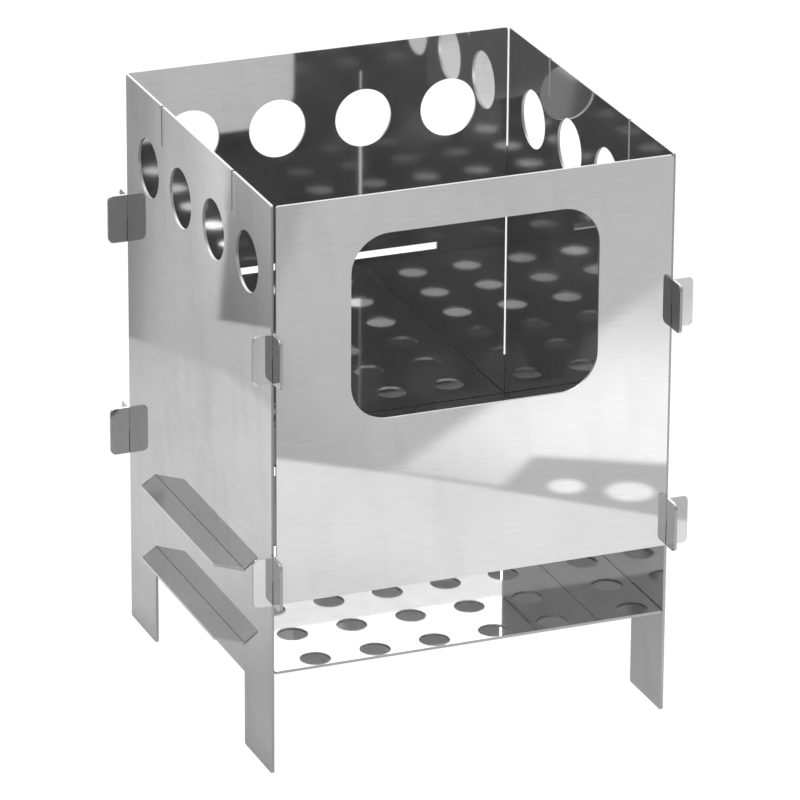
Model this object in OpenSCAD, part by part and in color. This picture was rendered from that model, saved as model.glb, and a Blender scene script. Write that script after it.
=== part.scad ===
/* [Stove] */
// Width over the outer faces of the two side panels
stove_w = 150; // [120:1:220]
// Depth over the outer faces of the front and back panels
stove_d = 150; // [120:1:220]
// Height from the ground to the top rim
stove_h = 212; // [200:1:300]
// Thickness of the stainless sheet
sheet_t = 1; // [0.6:0.1:1.6]

/* [Fits] */
// Play on each side of a sheet in the slit or slot it passes through
slit_play = 0.15; // [0.1:0.05:0.3]
// Open gap between the edges of two panels at a corner
corner_gap = 0.4; // [0.2:0.1:0.8]
// Gap between the edges of a plate and the panels round it
plate_gap = 0.5; // [0.2:0.1:1]

/* [Corner clips] */
// How far a corner tab stands out past the panel that it crosses
tab_out = 7.2; // [5:0.1:12]
// Height of a corner tab
tab_h = 18; // [12:0.2:24]
// Rounding of the outer corners of a corner tab
tab_r = 2; // [0.5:0.1:3]
// Distance from the bottom of a lower tab to the bottom of the upper tab above it
clip_spacing = 82.8; // [60:0.2:100]

/* [Side panels] */
// Width of a leg
leg_w = 27; // [15:0.5:35]
// Height of a leg, from the ground to the edge between the legs
leg_h = 28; // [15:0.5:30]
// Rounding of the foot corners and the panel corners
corner_r = 1; // [0.4:0.1:2]
// Distance between the two pot support slits
support_spread = 71.5; // [68:0.5:74]
// Depth of a pot support slit below the rim
support_slit_h = 15; // [8:0.5:16]

/* [Front and back panels] */
// Height of the lower edge above the ground
panel_bottom_z = 65; // [50:0.2:66]
// Width of the fuel window
window_w = 92.4; // [60:0.2:100]
// Height of the fuel window
window_h = 68.4; // [40:0.2:75]
// Rim left above the fuel window
window_top_rim = 14.6; // [10:0.1:20]
// Corner radius of the fuel window
window_r = 14; // [4:0.5:20]
// Height of the shelf slot in the back panel
shelf_slot_h = 2.6; // [2:0.1:4]

/* [Draught holes] */
// Diameter of a draught hole
draught_d = 22; // [12:0.5:25]
// Distance from one draught hole to the next
draught_pitch = 33.5; // [30:0.5:40]
// Distance from the top rim to the centres of the draught holes
draught_drop = 28.1; // [27:0.1:32]
// Least sheet left between a draught hole and the side edge of its panel
draught_edge = 10; // [4:0.5:20]

/* [Plates] */
// Height of the grate's top face above the lower edge of the front and back panels
grate_rise = 2.3; // [2:0.1:20]
// Height of the ash plate's top face above the edge between the legs
ash_rise = 11; // [5:0.2:15]
// Width of a plate tab where it leaves the side panel
plate_tab_w = 92.4; // [60:0.2:100]
// How far a plate tab stands out past the side panel, cut back at 45 degrees
plate_tab_out = 8.3; // [5:0.1:12]
// Rounding of the outer corners of a plate tab
plate_tab_r = 0.8; // [0.2:0.1:1.5]
// Diameter of a grate hole
grate_hole_d = 11.5; // [6:0.5:16]
// Distance from one grate hole to the next
grate_pitch = 23.2; // [18:0.2:30]
// Least sheet left between a grate hole and the edge of the grate
grate_edge = 5; // [3:0.5:10]

/* [Hidden] */
$fn = 48;

overrun = 1;
steel = [0.74, 0.74, 0.73];
dark_steel = [0.6, 0.6, 0.6];

half_w = stove_w / 2;
half_d = stove_d / 2;

// Where two crossing sheets meet, each gives way over half the height of the tab
slit_w = sheet_t + 2 * slit_play;
slit_h = tab_h / 2 + slit_play / 2;
lower_tab_z = panel_bottom_z;
upper_tab_z = lower_tab_z + clip_spacing;

// Half spans of the panels between their corner gaps
side_half = half_d - sheet_t - corner_gap;
end_half = half_w - sheet_t - corner_gap;

draught_z = stove_h - draught_drop;
window_z = stove_h - window_top_rim - window_h;

grate_z = panel_bottom_z + grate_rise;
ash_z = leg_h + ash_rise;
plate_half_w = half_w - sheet_t - plate_gap;
plate_half_d = half_d - sheet_t - plate_gap;
plate_tip_w = plate_tab_w - 2 * plate_tab_out;

// How many copies of a row fit a span and leave the stated edge
function fitting(span, size, pitch, edge) = floor((span - size - 2 * edge + pitch) / pitch);

function unit(v) = v / norm(v);

// For one corner: where its rounding starts, where it ends, and its centre
function corner_rounding(before, at, after, r) =
    let (a = unit(before - at), b = unit(after - at), half = acos(a * b) / 2)
    [at + a * r / tan(half), at + b * r / tan(half), at + unit(a + b) * r / sin(half)];

// Convex outline whose corners have the radii given, as true arcs
module rounded_outline(corners, radii) {
    n = len(corners);
    roundings = [for (i = [0 : n - 1])
        corner_rounding(corners[(i + n - 1) % n], corners[i], corners[(i + 1) % n], radii[i])];
    polygon([for (rounding = roundings) each [rounding[0], rounding[1]]]);
    for (i = [0 : n - 1])
        if (radii[i] > 0) translate(roundings[i][2]) circle(r = radii[i]);
}

// Rectangle between two corners, with the radii of its lower and upper corners
module rounded_rectangle(low, high, lower_r, upper_r) {
    rounded_outline(
        [low, [high[0], low[1]], high, [low[0], high[1]]],
        [lower_r, lower_r, upper_r, upper_r]
    );
}

module plain_rectangle(low, high) {
    translate(low) square(high - low);
}

// The shape and its mirror image across the middle of the sheet
module both_sides() {
    children();
    mirror([1, 0, 0]) children();
}

// Corner tabs at both ends of a panel whose edges lie half_span from its middle
module corner_tabs(half_span, reach) {
    root = half_span - corner_gap;
    for (z = [lower_tab_z, upper_tab_z])
        both_sides() rounded_outline(
            [[root, z], [reach, z], [reach, z + tab_h], [root, z + tab_h]],
            [0, tab_r, tab_r, 0]
        );
}

// Slits for the crossing sheets, open at the top or at the bottom of each tab
module corner_slits(crossing, open_top) {
    for (z = [lower_tab_z, upper_tab_z])
        both_sides()
            translate([crossing - slit_w / 2, z + (open_top ? tab_h - slit_h : -overrun)])
                square([slit_w, slit_h + overrun]);
}

// Row of draught holes, centred on the panel
module draught_row(half_span) {
    count = fitting(2 * half_span, draught_d, draught_pitch, draught_edge);
    for (i = [0 : count - 1])
        translate([(i - (count - 1) / 2) * draught_pitch, draught_z]) circle(d = draught_d);
}

// Slot for the tab of a plate whose top face is at height z
module plate_slot(z) {
    translate([-plate_tab_w / 2 - slit_play, z - sheet_t - slit_play])
        square([plate_tab_w + 2 * slit_play, slit_w]);
}

// Side panel seen from the side: two legs, plate slots, support slits and clip tabs
module side_sheet() {
    difference() {
        union() {
            rounded_rectangle([-side_half, leg_h], [side_half, stove_h], 0, corner_r);
            both_sides()
                rounded_rectangle([side_half - leg_w, 0], [side_half, leg_h + leg_w], corner_r, 0);
            corner_tabs(side_half, half_d + tab_out);
        }
        corner_slits(half_d - sheet_t / 2, true);
        draught_row(side_half);
        for (z = [grate_z, ash_z]) plate_slot(z);
        both_sides()
            translate([support_spread / 2 - slit_w / 2, stove_h - support_slit_h])
                square([slit_w, support_slit_h + overrun]);
    }
}

// Front or back panel seen from the front: a plain sheet with clip tabs
module end_sheet() {
    difference() {
        union() {
            rounded_rectangle([-end_half, panel_bottom_z], [end_half, stove_h], 0, corner_r);
            corner_tabs(end_half, half_w + tab_out);
        }
        corner_slits(half_w - sheet_t / 2, false);
    }
}

// Plate seen from above, with a tapered tab on its left and right
module plate_sheet() {
    root = plate_half_w - plate_gap;
    reach = half_w + plate_tab_out;
    plain_rectangle([-plate_half_w, -plate_half_d], [plate_half_w, plate_half_d]);
    both_sides() rounded_outline(
        [
            [root, -plate_tab_w / 2],
            [half_w, -plate_tab_w / 2],
            [reach, -plate_tip_w / 2],
            [reach, plate_tip_w / 2],
            [half_w, plate_tab_w / 2],
            [root, plate_tab_w / 2]
        ],
        [0, 0, plate_tab_r, plate_tab_r, 0, 0]
    );
}

// Stands a side sheet up, with its thickness along X
module stand_side() {
    rotate([90, 0, 90]) linear_extrude(sheet_t) children();
}

// Stands a front or back sheet up, with its thickness along Y
module stand_end() {
    rotate([90, 0, 0]) linear_extrude(sheet_t) children();
}

module left_panel() {
    color(steel)
        translate([-half_w, 0, 0]) stand_side() side_sheet();
}

module right_panel() {
    color(steel)
        translate([half_w - sheet_t, 0, 0]) stand_side() side_sheet();
}

module front_panel() {
    color(steel)
        translate([0, -half_d + sheet_t, 0]) stand_end()
            difference() {
                end_sheet();
                rounded_rectangle(
                    [-window_w / 2, window_z], [window_w / 2, window_z + window_h], window_r, window_r
                );
            }
}

module back_panel() {
    slot_half = plate_tab_w / 2 + slit_play;
    color(steel)
        translate([0, half_d, 0]) stand_end()
            difference() {
                end_sheet();
                draught_row(end_half);
                plain_rectangle([-slot_half, window_z], [slot_half, window_z + shelf_slot_h]);
            }
}

module fire_grate() {
    columns = fitting(2 * plate_half_w, grate_hole_d, grate_pitch, grate_edge);
    rows = fitting(2 * plate_half_d, grate_hole_d, grate_pitch, grate_edge);
    color(dark_steel)
        translate([0, 0, grate_z - sheet_t]) linear_extrude(sheet_t)
            difference() {
                plate_sheet();
                for (i = [0 : columns - 1], j = [0 : rows - 1])
                    translate([(i - (columns - 1) / 2) * grate_pitch, (j - (rows - 1) / 2) * grate_pitch])
                        circle(d = grate_hole_d);
            }
}

module ash_plate() {
    color(dark_steel)
        translate([0, 0, ash_z - sheet_t]) linear_extrude(sheet_t) plate_sheet();
}

left_panel();
right_panel();
front_panel();
back_panel();
fire_grate();
ash_plate();
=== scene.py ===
"""Finish and studio for a flat-pack hobo stove made of six slotted stainless sheets.

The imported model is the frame. One operator finishes each group of sheets, and one sets up
the studio: table, rear screen, lamps, surroundings and camera. Lengths are in metres. Polished
steel looks like what it mirrors, so most of the work is in the tones of the studio.
"""

from math import hypot, radians

import bpy
from bpy.props import FloatProperty, FloatVectorProperty, PointerProperty
from bpy.types import NodeSocket, Operator, Panel, PropertyGroup
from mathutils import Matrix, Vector

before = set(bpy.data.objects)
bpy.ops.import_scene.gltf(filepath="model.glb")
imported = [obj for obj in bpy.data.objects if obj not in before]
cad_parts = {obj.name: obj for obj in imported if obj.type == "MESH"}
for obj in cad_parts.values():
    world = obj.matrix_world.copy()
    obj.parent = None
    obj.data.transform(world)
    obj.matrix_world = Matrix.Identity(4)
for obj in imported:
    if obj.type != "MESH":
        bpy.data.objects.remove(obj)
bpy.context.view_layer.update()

bl_info = {
    "name": "Flat-pack stove finish",
    "version": (1, 0, 0),
    "blender": (4, 5, 0),
    "location": "3D View > Sidebar > Stove",
    "description": "Brushed steel for the sheets of a flat-pack stove, and its studio",
    "category": "Material",
}

# Each sheet with the axis of its thickness and the axis of its rolling grain
SIDE_SHEETS = {"left_panel": ("X", "Y"), "right_panel": ("X", "Y")}
END_SHEETS = {"front_panel": ("Y", "X"), "back_panel": ("Y", "X")}
PLATE_SHEETS = {"fire_grate": ("Z", "X"), "ash_plate": ("Z", "X")}

AXES = "XYZ"

# Points nearer to each other than this are one point of a sheet
JOIN_REACH = 0.000001
# Least angle between two faces whose corner is broken, in degrees
SHARP_ANGLE = 50.0
# Shift of the pattern from one sheet to the next, so that no two sheets look alike
PATTERN_SHIFT = (0.37, 0.53, 0.71)
# Lean of the wipe marks, in radians
WIPE_LEAN = (0.12, 0.15, 0.0)
# Directions of the two sets of scratches, in radians
SCRATCH_TURNS = (0.5, 1.9)
# Where a scratch fades out around its middle line, as a share of the gap between scratches
SCRATCH_FADE = (0.006, 0.03)
# Share of the rolling lines and of the clouds in how dull a face is
LINES_IN_DULLNESS = 0.45
CLOUDS_IN_DULLNESS = 0.55
# Lines across a cut edge are this many times as long as they are far apart
EDGE_LINE_SLIMNESS = 10
# Values of a noise between which a pattern goes from none to full
PATTERN_RANGE = (0.3, 0.7)
WIPE_RANGE = (0.5, 0.68)
# How far a normal turns towards the thickness of the sheet from a cut to a face
FACE_RANGE = (0.5, 0.8)
# How far a cut faces up from plain to its painted highlight
RIM_HIGHLIGHT_RANGE = (0.6, 0.9)
# Fineness of each noise, from smooth to rough
SMOOTH = 0.0
SOFT = 1.0
FINE = 3.0
ROUGH = 4.0

# Places of the lamps, and of the camera with its turns in degrees and sensor in millimetres
OVERHEAD_PLACE = (0.1, 0.0)
FRONT_LAMP_PLACE = (-0.9, -1.2, 0.62)
CAMERA_PLACE = (-0.76925, -1.91935, 0.93513)
CAMERA_TURNS = (68.0771, -0.3464, -21.7557)
SENSOR_WIDTH = 36.0
# Bounces that light needs between the mirror-like sheets
MIRROR_BOUNCES = 16
ALL_BOUNCES = 20


def length(name, default, description):
    """A size that the user can change, in metres."""
    return FloatProperty(
        name=name, default=default, description=description, min=0.0, precision=6, unit="LENGTH"
    )


def share(name, default, description):
    """A plain factor that the user can change."""
    return FloatProperty(
        name=name, default=default, description=description, min=0.0, subtype="FACTOR", soft_max=2.0
    )


def colour(name, default, description):
    """A colour that the user can change."""
    return FloatVectorProperty(
        name=name, default=default, description=description, min=0.0, max=1.0, subtype="COLOR"
    )


def power(name, default, description):
    """A lamp's power that the user can change, in watts."""
    return FloatProperty(name=name, default=default, description=description, min=0.0, unit="POWER")


class SteelSettings(PropertyGroup):
    """Sizes and colours of the sheet finish."""

    face_colour: colour("Face", (0.67, 0.67, 0.67), "Colour of the rolled face")
    dull_colour: colour("Dull Face", (0.62, 0.62, 0.62), "Colour where the rolled face is duller")
    edge_colour: colour("Cut Edge", (0.5, 0.5, 0.5), "Colour of the laser-cut edge")
    edge_line_colour: colour("Cut Edge Lines", (0.38, 0.38, 0.38), "Colour of the lines across a cut edge")
    # The rim colour is a painted highlight: cut edges that face up are drawn lighter, as light from above
    # would make them
    rim_highlight_colour: colour("Rim", (0.86, 0.86, 0.86), "Colour of the cut edges that face up, rubbed bright")
    bright_roughness: share("Least Roughness", 0.025, "Roughness where the face is brightest")
    dull_roughness: share("Most Roughness", 0.04, "Roughness where the face is dullest")
    inner_roughness: share("Inner Roughness", 0.008, "Roughness added on faces that look into the stove")
    edge_roughness: share("Edge Roughness", 0.45, "Roughness of the laser-cut edge")
    purity: share("Metal Share", 0.955, "Share of clean metal; the rest is haze from wear and handling")
    wall_glance: share("Wall Glance", 0.25, "How bright the walls stay when seen at a low angle")
    plate_glance: share("Plate Glance", 1.0, "How bright the plates stay when seen at a low angle")
    scratch_roughness: share("Scratch Roughness", 0.12, "Roughness added in a scratch")
    wipe_share: share("Wipe Marks", 0.03, "How much darker a wipe mark is")
    line_share: share("Rolling Lines", 0.012, "How much the brightness changes from line to line")
    grain_width: length("Grain Width", 0.0003, "Distance between rolling lines")
    grain_length: length("Grain Length", 0.01, "Length of a rolling line")
    grain_depth: length("Grain Depth", 0.0000001, "Depth of the rolling lines")
    cloud_size: length("Cloud Size", 0.03, "Size of the duller clouds left by handling")
    wipe_width: length("Wipe Width", 0.009, "Distance between wipe marks")
    wipe_length: length("Wipe Length", 0.09, "Length of a wipe mark")
    ripple_size: length("Ripple Size", 0.09, "Size of the slow waves in the sheet")
    ripple_depth: length("Ripple Depth", 0.00002, "Depth of the slow waves in the sheet")
    scratch_gap: length("Scratch Spacing", 0.006, "Sideways distance between light scratches")
    scratch_slimness: share("Scratch Slimness", 80.0, "Length of a light scratch over its width")
    edge_line_gap: length("Edge Line Spacing", 0.0004, "Distance between the lines across a cut edge")
    edge_break: length("Edge Break", 0.00012, "Greatest width of the broken corners along the cuts")


class StudioSettings(PropertyGroup):
    """Sizes and tones of the studio."""

    floor_size: length("Floor", 6.0, "Side of the square floor")
    shadow_share: share("Shadow Share", 0.06, "How much of the floor's look comes from the lamps")
    floor_tone: share("Floor Tone", 1.06, "Brightness of the floor")
    floor_paint: share("Floor Paint", 0.85, "Brightness of the floor's own paint under the lamps")
    table_roughness: share("Table Roughness", 0.1, "Roughness of the table behind the stove")
    front_left_tone: share("Front Left", 0.2, "Brightness of the room in front on the left")
    front_right_tone: share("Front Right", 0.43, "Brightness of the room in front on the right")
    rear_left_tone: share("Rear Left", 0.3, "Brightness of the room behind on the left")
    rear_right_tone: share("Rear Right", 1.2, "Brightness of the room behind on the right")
    high_front_left_tone: share("High Front Left", 0.9, "Brightness of the ceiling in front on the left")
    high_front_right_tone: share("High Front Right", 0.65, "Brightness of the ceiling in front on the right")
    high_rear_left_tone: share("High Rear Left", 1.8, "Brightness of the ceiling behind on the left")
    high_rear_right_tone: share("High Rear Right", 1.2, "Brightness of the ceiling behind on the right")
    screen_away: length("Screen Distance", 0.7, "Distance of the rear screen behind the stove")
    glare: share("Glare", 0.2, "How much of the screen the table behind the stove mirrors")
    overhead_power: power("Overhead Power", 10.0, "Power of the overhead lamp")
    overhead_size: length("Overhead Size", 1.2, "Side of the square overhead lamp")
    overhead_height: length("Overhead Height", 1.7, "Height of the overhead lamp")
    front_power: power("Front Power", 18.0, "Power of the lamp in front on the left")
    front_size: length("Front Size", 0.5, "Side of the square front lamp")
    focal: FloatProperty(
        name="Focal Length", default=279.41, description="Focal length", min=1.0, unit="CAMERA"
    )


class Graph:
    """Adds nodes to a material's or the world's node tree."""

    def __init__(self, owner):
        owner.use_nodes = True
        self.tree = owner.node_tree
        self.tree.nodes.clear()

    def feed(self, socket, value):
        if isinstance(value, NodeSocket):
            self.tree.links.new(value, socket)
        else:
            socket.default_value = value

    def add(self, kind, inputs=None, **settings):
        node = self.tree.nodes.new(kind)
        for name, value in settings.items():
            setattr(node, name, value)
        for key, value in (inputs or {}).items():
            self.feed(node.inputs[key], value)
        return node

    def math(self, operation, *values):
        return self.add("ShaderNodeMath", dict(enumerate(values)), operation=operation).outputs[0]

    def vector(self, operation, *values):
        node = self.add("ShaderNodeVectorMath", dict(enumerate(values)), operation=operation)
        return node.outputs["Value" if operation in ("DOT_PRODUCT", "DISTANCE") else "Vector"]

    def step(self, value, low, high, start=0.0, end=1.0):
        """Smooth change from start to end while the value goes from low to high."""
        inputs = {"Value": value, "From Min": low, "From Max": high, "To Min": start, "To Max": end}
        return self.add("ShaderNodeMapRange", inputs, interpolation_type="SMOOTHSTEP").outputs[0]

    def ramp(self, value, low, high, start=0.0, end=1.0):
        """Even change from start to end while the value goes from low to high."""
        inputs = {"Value": value, "From Min": low, "From Max": high, "To Min": start, "To Max": end}
        return self.add("ShaderNodeMapRange", inputs, interpolation_type="LINEAR").outputs[0]

    def blend(self, factor, first, second):
        """Mix of two numbers or colours."""
        inputs = {0: factor, 6: first, 7: second}
        return self.add("ShaderNodeMix", inputs, data_type="RGBA").outputs[2]

    def noise(self, place, size, detail):
        inputs = {"Vector": place, "Scale": 1.0 / size, "Detail": detail}
        return self.add("ShaderNodeTexNoise", inputs).outputs["Fac"]

    def output(self, shader, kind="ShaderNodeOutputMaterial"):
        self.add(kind, {"Surface": shader})


def grey(tone):
    """Colour of a plain tone."""
    return (tone, tone, tone, 1.0)


def opaque(value):
    """Colour with its fourth number, for a socket."""
    return (*value, 1.0)


def stretched(sizes):
    """Scale that makes a noise of size 1 as long along each axis as the sizes say."""
    return tuple(1.0 / size for size in sizes)


def toned(graph, tone, mask, new_tone):
    """The tone, changed to the new one where the mask holds."""
    change = graph.math("MULTIPLY", mask, graph.math("SUBTRACT", new_tone, tone))
    return graph.math("ADD", tone, change)


def streaks(graph, place, sizes, detail):
    """Noise as long along each axis as the sizes say."""
    return graph.noise(graph.vector("MULTIPLY", place, stretched(sizes)), 1.0, detail)


def hairlines(graph, place, turn, steel):
    """Short straight scratches: the long thin surroundings of scattered points."""
    turned = graph.add("ShaderNodeMapping", {"Vector": place, "Rotation": (0.0, 0.0, turn)}).outputs[0]
    sizes = (steel.scratch_gap, steel.scratch_gap * steel.scratch_slimness, 1.0)
    cells = graph.add(
        "ShaderNodeTexVoronoi",
        {"Vector": graph.vector("MULTIPLY", turned, stretched(sizes)), "Scale": 1.0},
        voronoi_dimensions="2D",
    ).outputs["Distance"]
    return graph.step(cells, *SCRATCH_FADE, 1.0, 0.0)


def scratches(graph, place, axis, seed, steel):
    """Two sets of hairlines that lie in the plane of the sheet."""
    split = graph.add("ShaderNodeSeparateXYZ", {0: place})
    in_sheet = [split.outputs[i] for i in range(3) if i != axis]
    flat = graph.add("ShaderNodeCombineXYZ", {0: in_sheet[0], 1: in_sheet[1]}).outputs[0]
    first, second = (hairlines(graph, flat, turn + seed, steel) for turn in SCRATCH_TURNS)
    return graph.math("MAXIMUM", first, second)


def rolling_lines(graph, place, grain, steel):
    """Fine lines that rolling leaves along the grain."""
    sizes = [steel.grain_width] * 3
    sizes[AXES.index(grain)] = steel.grain_length
    return streaks(graph, place, sizes, FINE)


def wipe_marks(graph, place, steel):
    """Long soft marks left by wiping."""
    leaning = graph.add("ShaderNodeMapping", {"Vector": place, "Rotation": WIPE_LEAN}).outputs[0]
    sizes = (steel.wipe_width, steel.wipe_width, steel.wipe_length)
    return graph.step(streaks(graph, leaning, sizes, SOFT), *WIPE_RANGE)


def face_colour(graph, place, dull, lines, steel):
    """Rolled face, duller in clouds and darker along its lines and wipe marks."""
    plain = graph.blend(dull, opaque(steel.face_colour), opaque(steel.dull_colour))
    unwiped = graph.ramp(wipe_marks(graph, place, steel), 0.0, 1.0, 1.0, 1.0 - steel.wipe_share)
    lined = graph.step(lines, *PATTERN_RANGE, 1.0 + steel.line_share, 1.0 - steel.line_share)
    shade = graph.math("MULTIPLY", unwiped, lined)
    return graph.add("ShaderNodeVectorMath", {0: plain, "Scale": shade}, operation="SCALE").outputs[0]


def cut_colour(graph, place, axis, upwards, steel):
    """Laser-cut edge with lines across it, and a painted highlight where it faces up."""
    sizes = [steel.edge_line_gap] * 3
    sizes[axis] = steel.edge_line_gap * EDGE_LINE_SLIMNESS
    lines = streaks(graph, place, sizes, SOFT)
    cut = graph.blend(lines, opaque(steel.edge_colour), opaque(steel.edge_line_colour))
    # Painted highlight on the cut edges that face up
    return graph.blend(graph.step(upwards, *RIM_HIGHLIGHT_RANGE), cut, opaque(steel.rim_highlight_colour))


def surface_waves(graph, place, lines, steel):
    """Normal bent by the slow waves of the sheet and by its rolling lines."""
    ripples = graph.noise(place, steel.ripple_size, SMOOTH)
    waves = graph.add(
        "ShaderNodeBump", {"Strength": 1.0, "Distance": steel.ripple_depth, "Height": ripples}
    ).outputs[0]
    return graph.add(
        "ShaderNodeBump",
        {"Strength": 1.0, "Distance": steel.grain_depth, "Height": lines, "Normal": waves},
    ).outputs[0]


def steel_material(name, thin, grain, seed, glance, steel):
    """Cold-rolled stainless sheet: near-mirror faces with fine rolling lines, and matt cut edges."""
    material = bpy.data.materials.new(name)
    graph = Graph(material)
    coords = graph.add("ShaderNodeTexCoord")
    own_place = coords.outputs["Object"]
    place = graph.vector("ADD", own_place, tuple(seed * shift for shift in PATTERN_SHIFT))

    # A face looks along the thickness of the sheet; all other normals belong to cuts
    axis = AXES.index(thin)
    normal = graph.add("ShaderNodeSeparateXYZ", {0: coords.outputs["Normal"]})
    facing = normal.outputs[axis]
    edge = graph.step(graph.math("ABSOLUTE", facing), *FACE_RANGE, 1.0, 0.0)
    away_from_middle = graph.add("ShaderNodeSeparateXYZ", {0: own_place}).outputs[axis]
    inner = graph.math("LESS_THAN", graph.math("MULTIPLY", facing, away_from_middle), 0.0)

    lines = rolling_lines(graph, place, grain, steel)
    clouds = graph.noise(place, steel.cloud_size, ROUGH)
    dullness = graph.math(
        "ADD",
        graph.math("MULTIPLY", lines, LINES_IN_DULLNESS),
        graph.math("MULTIPLY", clouds, CLOUDS_IN_DULLNESS),
    )
    dull = graph.step(dullness, *PATTERN_RANGE)
    scratch = scratches(graph, place, axis, seed, steel)
    roughness = graph.ramp(dull, 0.0, 1.0, steel.bright_roughness, steel.dull_roughness)
    roughness = graph.math("ADD", roughness, graph.math("MULTIPLY", inner, steel.inner_roughness))
    roughness = graph.math("ADD", roughness, graph.math("MULTIPLY", scratch, steel.scratch_roughness))
    roughness = toned(graph, roughness, edge, steel.edge_roughness)

    face = face_colour(graph, place, dull, lines, steel)
    cut = cut_colour(graph, place, axis, normal.outputs[AXES.index("Z")], steel)
    shader = graph.add(
        "ShaderNodeBsdfPrincipled",
        {
            "Base Color": graph.blend(edge, face, cut),
            "Metallic": steel.purity,
            "Specular Tint": grey(glance),
            "Roughness": roughness,
            "Normal": surface_waves(graph, place, lines, steel),
        },
    )
    graph.output(shader.outputs[0])
    return material


def break_corners(sheet, width):
    """Joins the faces of a packed sheet, which come apart at its corners, and breaks those corners.

    The modifier's limit on overlaps keeps a sheet's broken corners far narrower than the width.
    """
    mesh = sheet.data
    for face in mesh.polygons:
        face.use_smooth = True
    if "custom_normal" in mesh.attributes:
        mesh.attributes.remove(mesh.attributes["custom_normal"])
    joined = sheet.modifiers.new("joined_faces", "WELD")
    joined.merge_threshold = JOIN_REACH
    corners = sheet.modifiers.new("broken_corners", "BEVEL")
    corners.width = width
    corners.segments = 1
    corners.limit_method = "ANGLE"
    corners.angle_limit = radians(SHARP_ANGLE)
    corners.harden_normals = False
    shading = sheet.modifiers.new("flat_faces", "WEIGHTED_NORMAL")
    shading.mode = "FACE_AREA"
    shading.weight = 100


def finish_sheets(sheets, first_seed, glance):
    """Gives each sheet its own steel, and breaks the corners of its cuts."""
    steel = bpy.context.scene.stove_steel
    for seed, (name, (thin, grain)) in enumerate(sheets.items(), first_seed):
        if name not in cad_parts:
            raise RuntimeError(f"the packed model has no sheet named {name}")
        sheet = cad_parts[name]
        material = steel_material(f"{name}_steel", thin, grain, seed, glance, steel)
        for slot in sheet.material_slots:
            slot.material = material
        break_corners(sheet, steel.edge_break)


def grey_socket(graph, tone):
    """Colour of a tone that comes from other nodes."""
    return graph.add("ShaderNodeCombineColor", {0: tone, 1: tone, 2: tone}).outputs[0]


def offset_across(graph, place, start, end):
    """Distance of a place to the right of the line from start to end, seen from above."""
    run = (end[0] - start[0], end[1] - start[1])
    across = (run[1] / hypot(*run), -run[0] / hypot(*run))
    offset = graph.vector("DOT_PRODUCT", place, (*across, 0.0))
    return graph.math("SUBTRACT", offset, start[0] * across[0] + start[1] * across[1])


def beyond(start, end, fade):
    """Border along the line from start to end, with the patch on its right."""
    return lambda graph, place: graph.step(
        offset_across(graph, place, start, end), -fade / 2, fade / 2
    )


def left_of(x, fade):
    """Border that runs away from the front, with the patch on its left."""
    return beyond((x, 1.0), (x, -1.0), fade)


def right_of(x, fade):
    """Border that runs away from the front, with the patch on its right."""
    return beyond((x, -1.0), (x, 1.0), fade)


def nearer(y, fade):
    """Border that runs from left to right, with the patch on its near side."""
    return beyond((-1.0, y), (1.0, y), fade)


def farther(y, fade):
    """Border that runs from left to right, with the patch on its far side."""
    return beyond((1.0, y), (-1.0, y), fade)


def around(centre, radius, fade):
    """Round border with the patch inside."""
    return lambda graph, place: graph.step(
        graph.vector("DISTANCE", place, (*centre, 0.0)), radius - fade / 2, radius + fade / 2, 1.0, 0.0
    )


def sloping(start, end, first, last):
    """Tone that goes evenly from the first value at start to the last value at end."""
    run = (end[0] - start[0], end[1] - start[1])
    side = (start[0] - run[1], start[1] + run[0])
    return lambda graph, place: graph.ramp(
        offset_across(graph, place, start, side), 0.0, hypot(*run), first, last
    )


def pooled(centre, inner, outer, first, last):
    """Tone that goes from the first value inside a circle to the last value outside a wider one."""
    return lambda graph, place: graph.step(
        graph.vector("DISTANCE", place, (*centre, 0.0)), inner, outer, first, last
    )


def patched(graph, place, tone, patches):
    """The tone with patches laid over it in turn, each given by its own tone and its borders."""
    for new_tone, *borders in patches:
        mask = borders[0](graph, place)
        for border in borders[1:]:
            mask = graph.math("MULTIPLY", mask, border(graph, place))
        if callable(new_tone):
            new_tone = new_tone(graph, place)
        tone = toned(graph, tone, mask, new_tone)
    return tone


# The table is a painted reflection: its tones glow for the sheets alone and hold painted shadows of the
# stove and painted light.
# Table, seen from above and only in reflections. Its tones and edges are fitted to what the
# sheets mirror towards the studio camera. A patch is its tone, then the borders that hold it in, each
# with the width of its fade; a later patch lies over an earlier one.

# In front: grey cloth, darker towards the left, a card on it with a painted pool of light, a painted shade
# and two painted spots of light, and white paper by the stove with a painted shadow line along its edge and
# the stove's painted shadow on its left part
CLOTH_TONE = 0.66
PAPER_EDGE = ((0.1405, -0.2450), (0.0684, -0.3145), (0.0292, -0.3459))
CARD_EDGE = ((0.254, -0.4727), (0.070, -0.3205))
CARD_SHADE = ((0.168, -0.288), (0.124, -0.313), (0.104, -0.292))
# Painted shadow line just beyond the edge of the paper
PAPER_EDGE_SHADOW = (
    0.72,
    beyond((0.1434, -0.2510), (0.0794, -0.3094), 0.002),
    right_of(0.07, 0.01),
)
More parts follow.
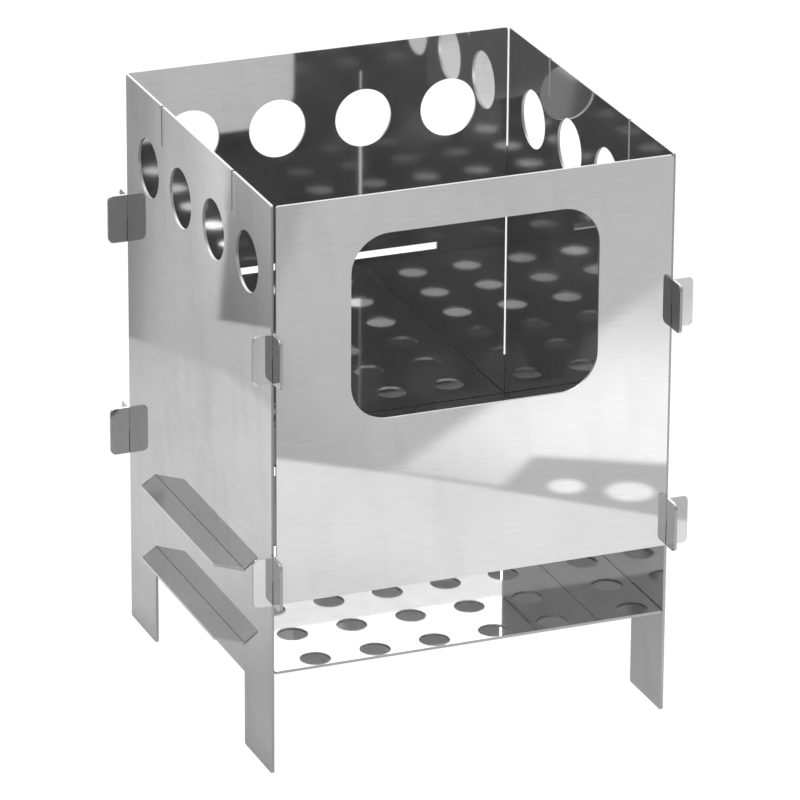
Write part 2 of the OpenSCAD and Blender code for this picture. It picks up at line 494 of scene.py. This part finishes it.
# Painted shade on the card
SHADE = (
    0.63,
    beyond(CARD_SHADE[0], CARD_SHADE[1], 0.008),
    beyond(CARD_SHADE[1], CARD_SHADE[2], 0.008),
)
WHITE_PAPER = (
    1.09,
    beyond(PAPER_EDGE[0], PAPER_EDGE[1], 0.004),
    beyond(PAPER_EDGE[1], PAPER_EDGE[2], 0.004),
)
FRONT_PATCHES = (
    (0.53, left_of(0.06, 0.06)),
    (0.50, beyond((0.110, -0.55), (0.136, -0.60), 0.012)),
    # Painted pool of light on the card, brightest at its centre
    (pooled((0.19, -0.33), 0.02, 0.15, 1.46, 0.85), beyond(*CARD_EDGE, 0.012), left_of(0.30, 0.03)),
    PAPER_EDGE_SHADOW,
    SHADE,
    # Two painted spots of light on the card
    (1.33, around((0.1245, -0.2795), 0.0069, 0.005)),
    (1.33, around((0.1455, -0.2657), 0.0094, 0.005)),
    WHITE_PAPER,
    # Painted shadow of the stove on the paper beside it
    (0.95, left_of(0.03, 0.05), farther(-0.245, 0.05)),
    # Painted shadow of the stove over the left of the front
    (0.57, left_of(-0.055, 0.05)),
)

# On the left: dim towards the camera under a painted shadow of the stove, lightest beside the stove, with
# bright and dark strips behind
NEAR_LEFT_TONE = 0.36
DARK_STRIP_EDGE = ((-0.2717, 0.4992), (-0.2110, 0.3490))
LIGHT_CLOTH = (
    sloping((-0.18, 0.28), (-0.18, 0.33), 1.50, 1.28),
    farther(0.23, 0.03),
    beyond((-0.196, 0.247), (-0.1915, 0.297), 0.008),
    beyond((-0.1915, 0.297), (-0.168, 0.339), 0.008),
)
BRIGHT_STRIP = (
    sloping((-0.205, 0.345), (-0.26, 0.49), 1.25, 1.65),
    beyond(DARK_STRIP_EDGE[1], DARK_STRIP_EDGE[0], 0.004),
    beyond((-0.2598, 0.5037), (-0.1973, 0.3267), 0.02),
)
DARK_STRIP = (
    sloping((-0.222, 0.375), (-0.262, 0.367), 0.38, 0.95),
    beyond(*DARK_STRIP_EDGE, 0.004),
    beyond((-0.2103, 0.3463), (-0.2265, 0.3302), 0.005),
)
GREY_WEDGE = (
    sloping((-0.19, 0.43), (-0.19, 0.54), 0.62, 0.78),
    beyond((-0.1889, 0.3793), (-0.2645, 0.5798), 0.02),
    beyond((-0.1688, 0.34), (-0.1742, 0.3319), 0.004),
)
LEFT_PATCHES = (
    (0.08, right_of(-0.185, 0.015), nearer(-0.42, 0.03)),
    # Painted shadow of the stove, lighter away from the camera
    (sloping((-0.15, -0.30), (-0.15, -0.14), 0.36, 0.92), farther(-0.31, 0.02)),
    (sloping((-0.15, 0.0), (-0.15, 0.13), 0.93, 1.57), farther(-0.01, 0.02)),
    (1.1, right_of(-0.19, 0.02), farther(-0.315, 0.03), nearer(-0.205, 0.03)),
    (1.20, farther(0.24, 0.02)),
    LIGHT_CLOTH,
    BRIGHT_STRIP,
    DARK_STRIP,
    GREY_WEDGE,
    (sloping((-0.14, 0.40), (-0.14, 0.53), 0.05, 0.30), right_of(-0.172, 0.004), farther(0.385, 0.01)),
    (0.05, beyond((-0.17, 0.57), (-0.15, 0.53), 0.006), right_of(-0.185, 0.01), farther(0.45, 0.02)),
)

# Behind: a dim table, lighter on the right with painted light, and a painted band of light close to the
# stove
REAR_LEFT_TONE = 0.40
REAR_PATCHES = (
    (0.65, right_of(0.06, 0.06)),
    (1.22, nearer(0.1875, 0.025)),
)

# Under the stove: painted shade, lighter towards the right where light comes in
BENEATH_PATCH = (
    sloping((-0.07, 0.0), (0.07, 0.0), 0.6, 0.72),
    right_of(-0.072, 0.012),
    left_of(0.08, 0.02),
    nearer(0.085, 0.03),
    farther(-0.085, 0.03),
)

# Borders between the front, left and rear parts of the table
LEFT_BORDER = left_of(-0.0725, 0.025)
REAR_BORDERS = (farther(0.1025, 0.035), right_of(-0.09, 0.02))


def table_tone(graph):
    """Brightness of the table as the polished sheets show it, a painted reflection with painted shadows and
    painted light, and where the table is glossy.
    """
    coords = graph.add("ShaderNodeTexCoord").outputs["Object"]
    place = graph.vector("MULTIPLY", coords, (1.0, 1.0, 0.0))
    front = patched(graph, place, CLOTH_TONE, FRONT_PATCHES)
    left = patched(graph, place, NEAR_LEFT_TONE, LEFT_PATCHES)
    rear = patched(graph, place, REAR_LEFT_TONE, REAR_PATCHES)
    behind = graph.math("MULTIPLY", *(border(graph, place) for border in REAR_BORDERS))
    tone = toned(graph, front, LEFT_BORDER(graph, place), left)
    tone = patched(graph, place, tone, (BENEATH_PATCH,))
    return toned(graph, tone, behind, rear), behind


# Rear screen, a painted reflection that glows though it is no lamp and is seen only in reflections: left
# end, right end, lower edge, top edge, brightness
SCREEN_PARTS = {
    "screen_left": (-0.80, -0.31, 0.30, 0.42, 1.15),
    "screen_middle": (-0.31, 0.0, 0.325, 0.365, 1.05),
    "screen_right": (0.0, 0.80, 0.0, 0.42, 5.0),
}


def stage_sheet(name, corners, material):
    """Flat four-cornered piece of the stage."""
    mesh = bpy.data.meshes.new(name)
    mesh.from_pydata(corners, [], [(0, 1, 2, 3)])
    mesh.materials.append(material)
    sheet = bpy.data.objects.new(name, mesh)
    bpy.context.scene.collection.objects.link(sheet)
    return sheet


def rear_screen(studio):
    """Low screen behind the stove that glows as a painted reflection, brightest on its right half."""
    away = studio.screen_away
    for name, (left, right, low, top, tone) in SCREEN_PARTS.items():
        material = bpy.data.materials.new(name)
        graph = Graph(material)
        graph.output(graph.add("ShaderNodeEmission", {"Color": grey(tone)}).outputs[0])
        corners = [(left, away, low), (right, away, low), (right, away, top), (left, away, top)]
        screen = stage_sheet(name, corners, material)
        screen.visible_camera = False
        screen.visible_diffuse = False
        screen.visible_shadow = False


def studio_floor(studio):
    """White floor that keeps the soft shadow of the stove, and in reflections a toned table that glows with
    painted shadows and painted light.
    """
    material = bpy.data.materials.new("studio_floor")
    graph = Graph(material)
    rays = graph.add("ShaderNodeLightPath")
    lit = graph.add("ShaderNodeBsdfDiffuse", {"Color": grey(studio.floor_paint)}).outputs[0]
    table, behind = table_tone(graph)
    tone = toned(graph, table, rays.outputs["Is Camera Ray"], studio.floor_tone)
    white = graph.add("ShaderNodeEmission", {"Color": grey_socket(graph, tone)}).outputs[0]
    gloss = {"Color": grey(1.0), "Roughness": studio.table_roughness}
    sheen = graph.add("ShaderNodeBsdfGlossy", gloss).outputs[0]
    unseen = graph.math("SUBTRACT", 1.0, rays.outputs["Is Camera Ray"])
    glare = graph.math("MULTIPLY", graph.math("MULTIPLY", behind, unseen), studio.glare)
    white = graph.add("ShaderNodeMixShader", {0: glare, 1: white, 2: sheen}).outputs[0]
    seen = graph.math(
        "MAXIMUM",
        rays.outputs["Is Camera Ray"],
        graph.math("MAXIMUM", rays.outputs["Is Glossy Ray"], rays.outputs["Is Transmission Ray"]),
    )
    whiteness = graph.math("MULTIPLY", seen, 1.0 - studio.shadow_share)
    graph.output(graph.add("ShaderNodeMixShader", {0: whiteness, 1: lit, 2: white}).outputs[0])
    half = studio.floor_size / 2
    corners = [(-half, -half, 0.0), (half, -half, 0.0), (half, half, 0.0), (-half, half, 0.0)]
    stage_sheet("studio_floor", corners, material)


# Borders of the room's tones, as parts of a direction of length 1: between front and rear, between
# left and right, and from the walls up to the ceiling
REAR_FADE = 0.3
SIDE_FADE = 0.25
CEILING_EDGE = (0.383, 0.398)


def surroundings(studio):
    """White to the camera; in reflections a dim room under a lighter ceiling."""
    world = bpy.data.worlds.new("studio")
    bpy.context.scene.world = world
    graph = Graph(world)
    towards = graph.add("ShaderNodeTexCoord").outputs["Generated"]
    split = graph.add("ShaderNodeSeparateXYZ", {0: towards})
    across, away, up = split.outputs
    walls = (studio.front_left_tone, studio.front_right_tone, studio.rear_left_tone, studio.rear_right_tone)
    ceiling = (
        studio.high_front_left_tone,
        studio.high_front_right_tone,
        studio.high_rear_left_tone,
        studio.high_rear_right_tone,
    )
    behind = graph.step(away, -REAR_FADE, REAR_FADE)
    tones = []
    for front_left, front_right, rear_left, rear_right in (walls, ceiling):
        front = graph.step(across, -SIDE_FADE, SIDE_FADE, front_left, front_right)
        rear = graph.step(across, -SIDE_FADE, SIDE_FADE, rear_left, rear_right)
        tones.append(toned(graph, front, behind, rear))
    room = grey_socket(graph, toned(graph, tones[0], graph.step(up, *CEILING_EDGE), tones[1]))
    camera_ray = graph.add("ShaderNodeLightPath").outputs["Is Camera Ray"]
    seen = graph.blend(camera_ray, room, grey(1.0))
    background = graph.add("ShaderNodeBackground", {"Color": seen, "Strength": 1.0}).outputs[0]
    graph.output(background, "ShaderNodeOutputWorld")


def studio_lamp(name, place, size, watts):
    """Soft square lamp that looks at the stove."""
    lamp = bpy.data.lights.new(name, "AREA")
    lamp.size = size
    lamp.energy = watts
    holder = bpy.data.objects.new(name, lamp)
    holder.location = place
    holder.rotation_euler = Vector(place).to_track_quat("Z", "Y").to_euler()
    holder.visible_glossy = False
    bpy.context.scene.collection.objects.link(holder)


def studio_camera(studio):
    """Camera in front on the left, looking down at the stove."""
    lens = bpy.data.cameras.new("studio_camera")
    lens.sensor_width = SENSOR_WIDTH
    lens.lens = studio.focal
    camera = bpy.data.objects.new("studio_camera", lens)
    camera.location = CAMERA_PLACE
    camera.rotation_euler = [radians(turn) for turn in CAMERA_TURNS]
    bpy.context.scene.collection.objects.link(camera)
    bpy.context.scene.camera = camera


class STOVE_OT_side_panels(Operator):
    """Finish the steel of the left and right panels"""

    bl_idname = "stove.side_panels"
    bl_label = "Finish Side Panels"

    def execute(self, context):
        finish_sheets(SIDE_SHEETS, 1, context.scene.stove_steel.wall_glance)
        return {"FINISHED"}


class STOVE_OT_end_panels(Operator):
    """Finish the steel of the front and back panels"""

    bl_idname = "stove.end_panels"
    bl_label = "Finish Front and Back Panels"

    def execute(self, context):
        finish_sheets(END_SHEETS, 3, context.scene.stove_steel.wall_glance)
        return {"FINISHED"}


class STOVE_OT_plates(Operator):
    """Finish the steel of the fire grate and the ash plate"""

    bl_idname = "stove.plates"
    bl_label = "Finish Plates"

    def execute(self, context):
        finish_sheets(PLATE_SHEETS, 5, context.scene.stove_steel.plate_glance)
        return {"FINISHED"}


class STOVE_OT_studio(Operator):
    """Set up the floor, rear screen, surroundings, lamps and camera"""

    bl_idname = "stove.studio"
    bl_label = "Set Up Studio"

    def execute(self, context):
        studio = context.scene.stove_studio
        studio_floor(studio)
        rear_screen(studio)
        surroundings(studio)
        overhead_place = (*OVERHEAD_PLACE, studio.overhead_height)
        studio_lamp("overhead_lamp", overhead_place, studio.overhead_size, studio.overhead_power)
        studio_lamp("front_lamp", FRONT_LAMP_PLACE, studio.front_size, studio.front_power)
        studio_camera(studio)
        context.scene.view_settings.view_transform = "Standard"
        context.scene.cycles.glossy_bounces = MIRROR_BOUNCES
        context.scene.cycles.max_bounces = ALL_BOUNCES
        return {"FINISHED"}


class STOVE_PT_workshop(Panel):
    """Sidebar panel with the steps of the finish"""

    bl_label = "Flat-pack Stove"
    bl_space_type = "VIEW_3D"
    bl_region_type = "UI"
    bl_category = "Stove"

    def draw(self, context):
        for operator in OPERATORS:
            self.layout.operator(operator.bl_idname)


OPERATORS = (STOVE_OT_side_panels, STOVE_OT_end_panels, STOVE_OT_plates, STOVE_OT_studio)
CLASSES = (SteelSettings, StudioSettings, *OPERATORS, STOVE_PT_workshop)


def register():
    for cls in CLASSES:
        bpy.utils.register_class(cls)
    bpy.types.Scene.stove_steel = PointerProperty(type=SteelSettings)
    bpy.types.Scene.stove_studio = PointerProperty(type=StudioSettings)


def unregister():
    del bpy.types.Scene.stove_studio
    del bpy.types.Scene.stove_steel
    for cls in reversed(CLASSES):
        bpy.utils.unregister_class(cls)


def main():
    register()
    bpy.ops.stove.side_panels()
    bpy.ops.stove.end_panels()
    bpy.ops.stove.plates()
    bpy.ops.stove.studio()


if __name__ == "__main__":
    main()
